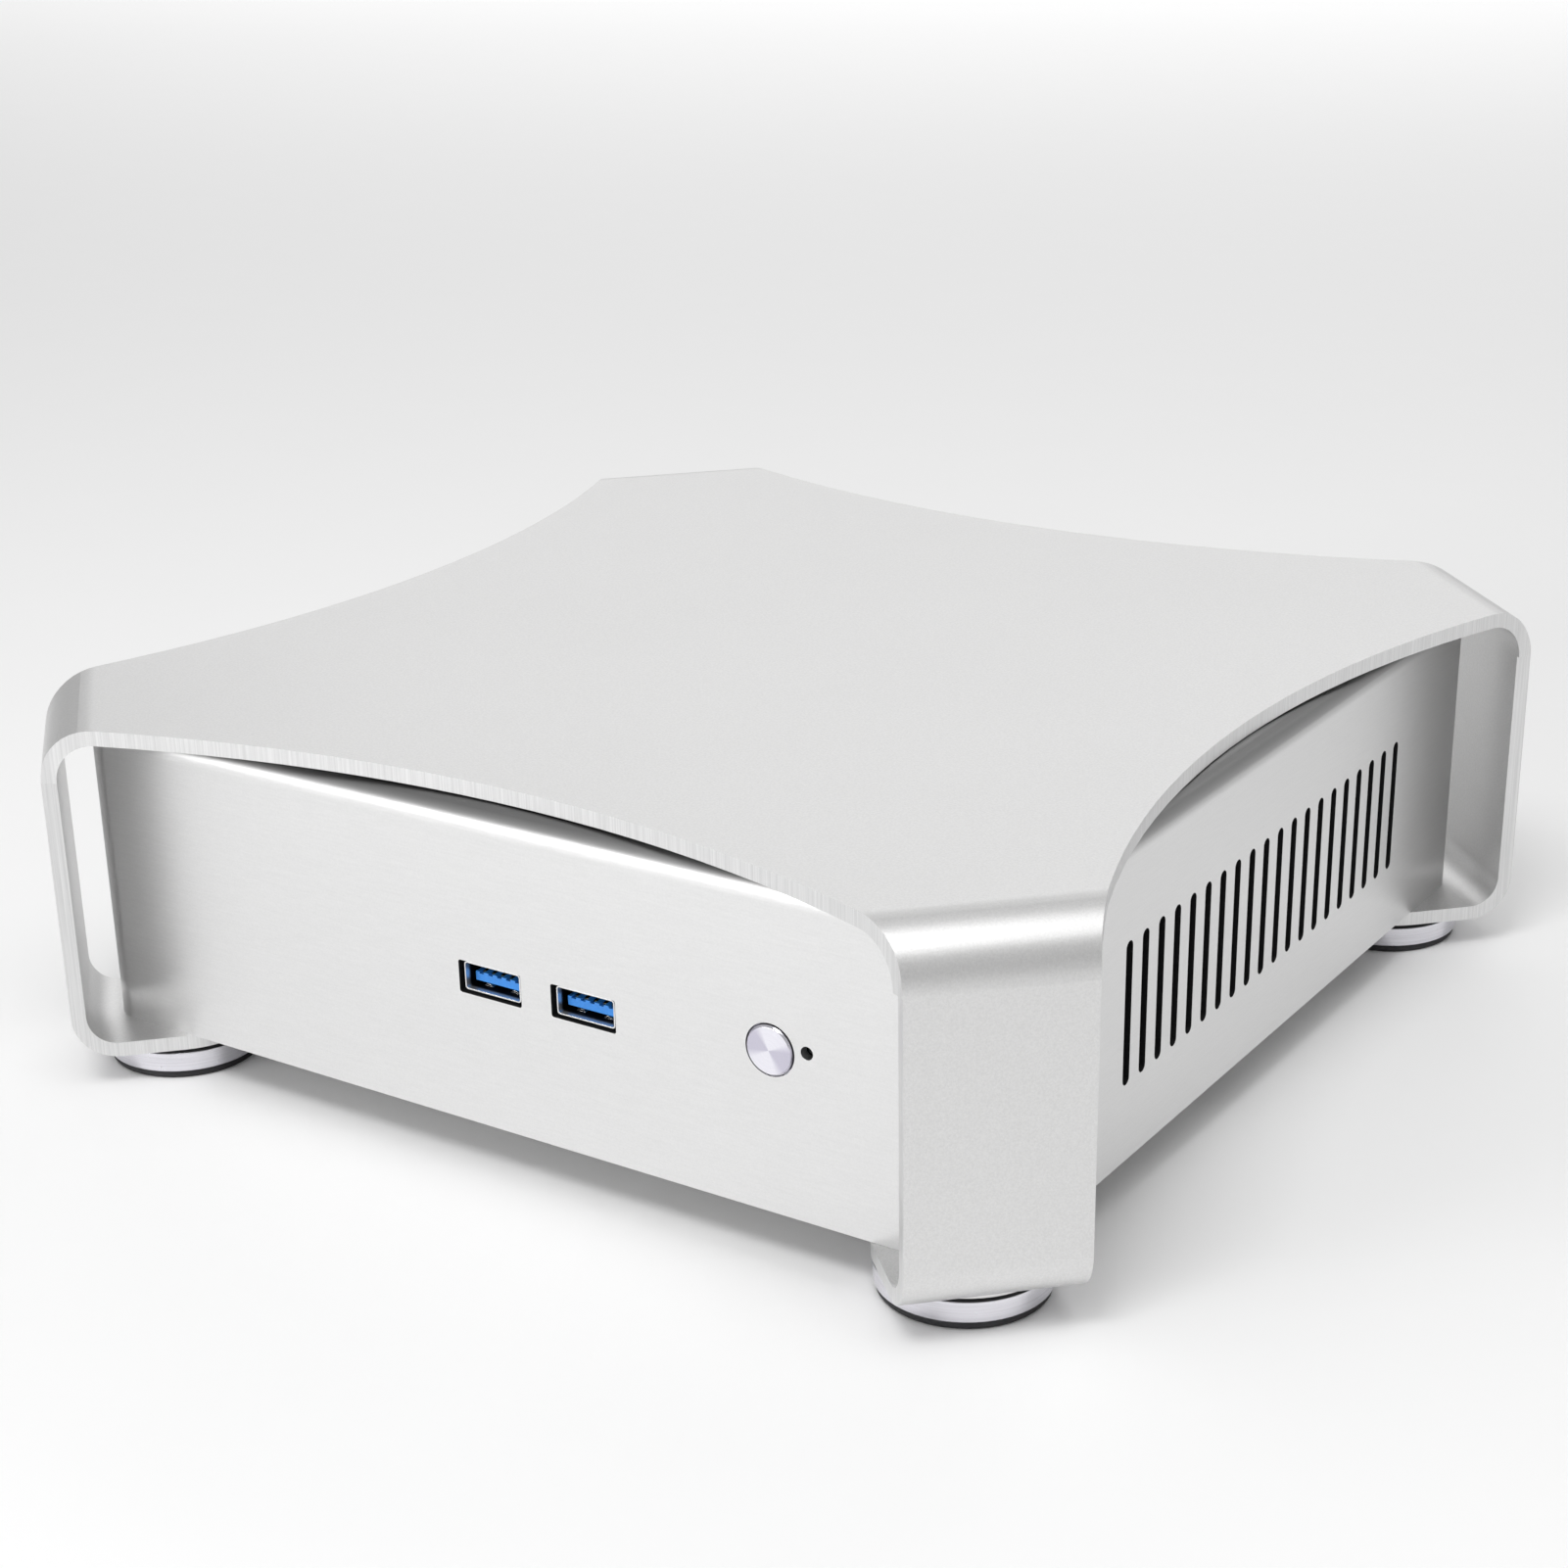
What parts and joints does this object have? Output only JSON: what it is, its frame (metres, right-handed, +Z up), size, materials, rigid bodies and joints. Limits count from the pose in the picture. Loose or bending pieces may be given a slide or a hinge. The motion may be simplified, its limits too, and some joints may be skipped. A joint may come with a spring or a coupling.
{
  "type": "small-form-factor desktop computer",
  "caption": "Flat desktop computer in a slotted aluminium case, hung under a folded top frame with corner legs on turned feet, with front ports and a push button.",
  "frame": {"origin": "on the table under the centre of the case", "axes": "+Z up, -Y towards the front panel, +X to the right seen from the front"},
  "size_m": [0.2404, 0.2404, 0.0773],
  "materials": {
    "frame_aluminium": "fine bead-blasted, clear anodised",
    "case_aluminium": "fine brushed, clear anodised",
    "rear_sheet": "satin",
    "shield_steel": "zinc plated",
    "post_aluminium": "mill finish",
    "turned_aluminium": "lathe-turned bright",
    "button_aluminium": "spun bright face",
    "foot_rubber": "matt",
    "zinc_screws": "zinc plated",
    "black_screws": "black oxide",
    "spring_steel": "bright drawn wire",
    "black_plastic": "moulded",
    "smoked_lens": "smoked",
    "port_steel": "nickel plated",
    "blue_plastic": "moulded",
    "contact_gold": "gold plated",
    "green_board": "solder mask",
    "dark_board": "solder mask",
    "black_epoxy": "moulded epoxy",
    "nickel_plate": "nickel plated",
    "sink_aluminium": "extruded",
    "can_aluminium": "drawn",
    "stator_copper": "enamelled winding",
    "magnet_ring": "bonded ferrite",
    "lead_jacket": "soft jacket"
  },
  "bodies": {
    "chassis": {"audio_jacks": "black_plastic", "base_plate": "case_aluminium", "base_screws": "black_screws", "battery_holder": "black_plastic", "board_capacitors": "can_aluminium", "board_coils": "black_epoxy", "board_headers": "black_plastic", "board_screws": "zinc_screws", "board_standoffs": "nickel_plate", "button_guide": "black_plastic", "button_spring": "spring_steel", "case_shell": "case_aluminium", "chipset_sink": "sink_aluminium", "coin_cell": "nickel_plate", "cooler_screws": "zinc_screws", "cooler_sink": "sink_aluminium", "corner_posts": "post_aluminium", "drive": "can_aluminium", "drive_bracket": "shield_steel", "drive_screws": "zinc_screws", "fan_frame": "black_plastic", "fan_screws": "zinc_screws", "fan_stator": "stator_copper", "foot_disc_front_left": "turned_aluminium", "foot_disc_front_right": "turned_aluminium", "foot_disc_rear_left": "turned_aluminium", "foot_disc_rear_right": "turned_aluminium", "foot_pads": "foot_rubber", "foot_screws": "zinc_screws", "frame_screws": "zinc_screws", "front_port_board": "green_board", "front_port_bracket": "shield_steel", "front_port_contacts": "contact_gold", "front_port_shells": "port_steel", "front_port_tongues": "blue_plastic", "inner_leads": "lead_jacket", "io_shield": "shield_steel", "mainboard": "dark_board", "memory_chips": "black_epoxy", "memory_modules": "green_board", "memory_sockets": "black_plastic", "network_port": "port_steel", "power_jack": "nickel_plate", "power_jack_nut": "nickel_plate", "power_switch": "black_plastic", "processor_lid": "nickel_plate", "processor_package": "dark_board", "rear_panel": "rear_sheet", "rear_port_shells": "port_steel", "rear_port_tongues": "black_plastic", "rear_screws": "zinc_screws", "side_rails": "post_aluminium", "small_screws": "zinc_screws", "status_led": "smoked_lens", "switch_board": "green_board", "video_port": "port_steel", "x_frame": "frame_aluminium"},
    "power_button": {"power_button_cap": "button_aluminium"},
    "cooling_fan": {"fan_rotor": "black_plastic", "fan_magnet": "magnet_ring"}
  },
  "joints": [
    {"name": "button_press", "type": "slide", "parent": "chassis", "child": "power_button", "axis": [0, 1, 0], "range_m": [0, 0.0012], "stiffness_N_per_m": 600, "springref_m": -0.0008, "deforming": ["button_spring"]},
    {"name": "fan_spin", "type": "hinge", "parent": "chassis", "child": "cooling_fan", "pos_m": [0.01, 0.012, 0.053], "axis": [0, 0, 1], "continuous": true}
  ]
}
